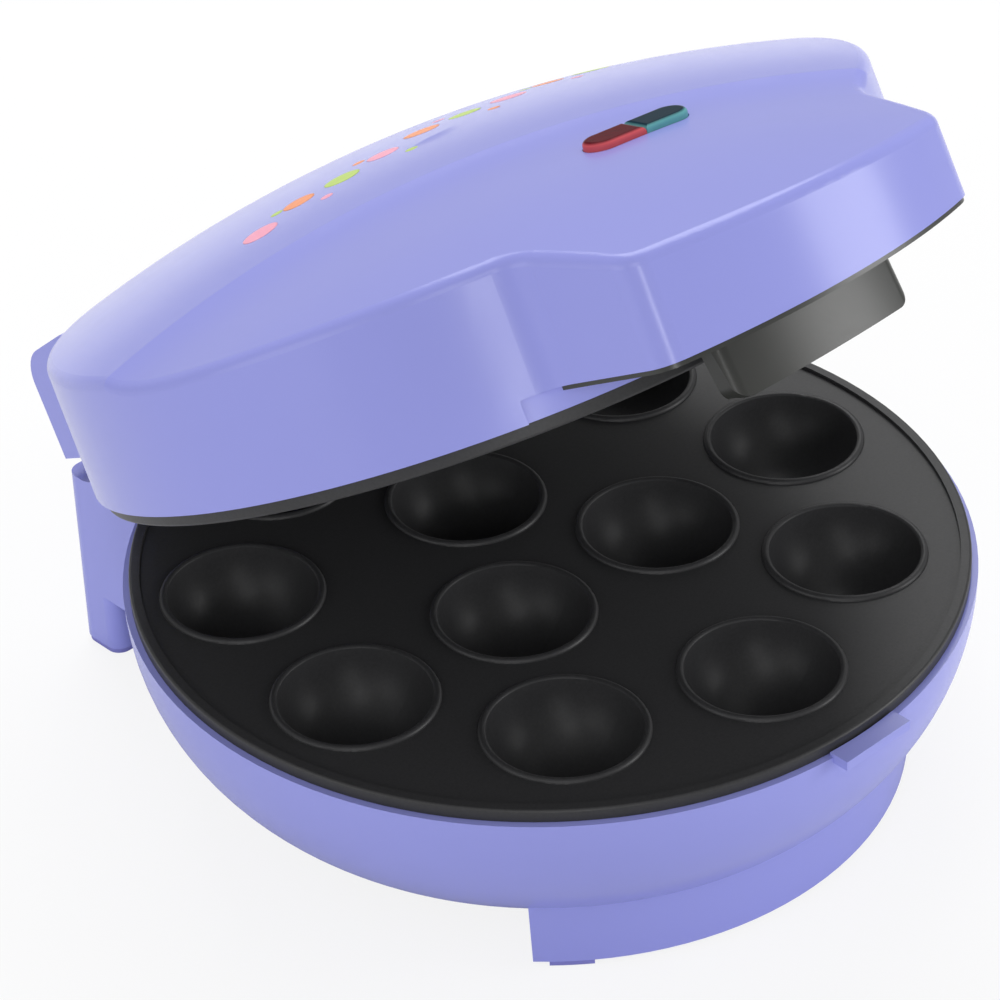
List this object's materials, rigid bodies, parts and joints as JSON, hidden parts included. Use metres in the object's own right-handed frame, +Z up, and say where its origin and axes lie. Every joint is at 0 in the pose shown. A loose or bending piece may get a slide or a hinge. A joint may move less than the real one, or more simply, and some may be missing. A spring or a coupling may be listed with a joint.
{
  "type": "cake pop maker",
  "caption": "Round countertop cooker with hinged lid: two non-stick plates with half-ball cups, front handle with latch, signal lamp and footed bowl-shaped base.",
  "frame": {"origin": "on the table, under the middle of the part's outline with the lid at rest", "axes": "+X to the right of a person at the handle, +Y back to the hinge, +Z up"},
  "size_m": [0.2056, 0.2336, 0.1962],
  "materials": {
    "shell_plastic": "glossy lavender moulding",
    "dark_plastic": "matt moulding, shaded lavender",
    "latch_plastic": "satin dark grey",
    "non_stick": "black non-stick coat on a casting",
    "foot_rubber": "matt rubber",
    "shield_metal": "plain pressed sheet",
    "steel": "plain steel",
    "insulator": "off-white moulding",
    "lamp_glass": "clear",
    "wire_sleeve": "woven heat-proof sleeve",
    "bush_brass": "plain",
    "red_lens": "clear red",
    "green_lens": "clear green"
  },
  "bodies": {
    "base": {"base_shell": "shell_plastic", "bottom_cover": "dark_plastic", "bottom_cover_screws": "steel", "front_feet": "foot_rubber", "rear_feet": "foot_rubber", "lower_cooking_plate": "non_stick", "lower_plate_screws": "steel", "lower_heating_element": "steel", "lower_heat_shield": "shield_metal", "lower_shield_screws": "steel", "lower_thermostat": "steel", "thermal_fuse": "steel", "terminal_block": "insulator", "inlet_grommet": "foot_rubber", "base_wiring": "wire_sleeve", "hinge_pins": "steel"},
    "lid": {"lid_shell": "shell_plastic", "handle_underside_cover": "latch_plastic", "handle_cover_screws": "steel", "upper_cooking_plate": "non_stick", "upper_plate_screws": "steel", "upper_heating_element": "steel", "upper_heat_shield": "shield_metal", "upper_shield_screws": "steel", "upper_thermostat": "steel", "red_light_lens": "red_lens", "green_light_lens": "green_lens", "lamp_holder": "insulator", "neon_lamps": "lamp_glass", "lid_wiring": "wire_sleeve", "hinge_bushes": "bush_brass", "latch_pivot_pin": "steel"},
    "latch": {"latch": "latch_plastic"}
  },
  "joints": [
    {"name": "lid_hinge", "type": "hinge", "parent": "base", "child": "lid", "pos_m": [0, 0.10114, 0.06], "axis": [-1, 0, 0], "range_deg": [-27.5, 70]},
    {"name": "latch_pivot", "type": "hinge", "parent": "lid", "child": "latch", "pos_m": [0, -0.08587, 0.17483], "axis": [-1, 0, 0], "range_deg": [-8, 20]}
  ]
}
